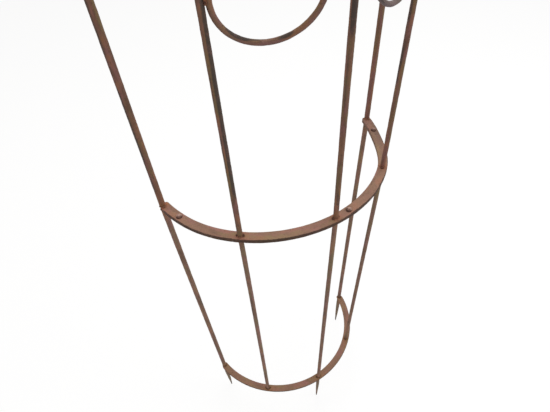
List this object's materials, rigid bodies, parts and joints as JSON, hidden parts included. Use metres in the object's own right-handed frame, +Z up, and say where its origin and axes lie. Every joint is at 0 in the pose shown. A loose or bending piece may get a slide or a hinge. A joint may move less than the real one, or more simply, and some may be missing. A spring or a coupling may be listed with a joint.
{
  "type": "half-round garden trellis",
  "caption": "Half-round rusty iron garden trellis: round rods welded to flat arc bands, two bolted sections, rings between the middle rods, spikes to push into the soil.",
  "frame": {"origin": "middle of the footprint's bounding box, at the level of the spike tips", "axes": "+Z up along the rods; the curved front faces -Y and the open back faces +Y; +X is to the right as seen from the front"},
  "size_m": [0.5588, 0.251, 1.6813],
  "materials": {
    "band_iron": "rusted flat bar, dull brown with pinkish and ochre patches",
    "rod_iron": "rusted round bar, dark brown",
    "end_rod_iron": "rusted thicker round bar, dark brown",
    "spike_iron": "rusted pointed bar, dark",
    "ring_iron": "rusted thin round bar, reddish brown",
    "bolt_iron": "rusted fasteners"
  },
  "bodies": {
    "root": {"bottom_band": "band_iron", "lower_middle_band": "band_iron", "upper_middle_band": "band_iron", "top_band": "band_iron", "lower_rod_1": "end_rod_iron", "lower_rod_2": "rod_iron", "lower_rod_3": "rod_iron", "lower_rod_4": "rod_iron", "lower_rod_5": "end_rod_iron", "upper_rod_1": "end_rod_iron", "upper_rod_2": "rod_iron", "upper_rod_3": "rod_iron", "upper_rod_4": "rod_iron", "upper_rod_5": "end_rod_iron", "ground_spike_1": "spike_iron", "ground_spike_3": "spike_iron", "ground_spike_5": "spike_iron", "ring_left_low": "ring_iron", "ring_left_high": "ring_iron", "ring_right_low": "ring_iron", "ring_right_high": "ring_iron", "joint_bolt_left": "bolt_iron", "joint_bolt_middle": "bolt_iron", "joint_bolt_right": "bolt_iron", "joint_nut_left": "bolt_iron", "joint_nut_middle": "bolt_iron", "joint_nut_right": "bolt_iron"}
  },
  "joints": []
}
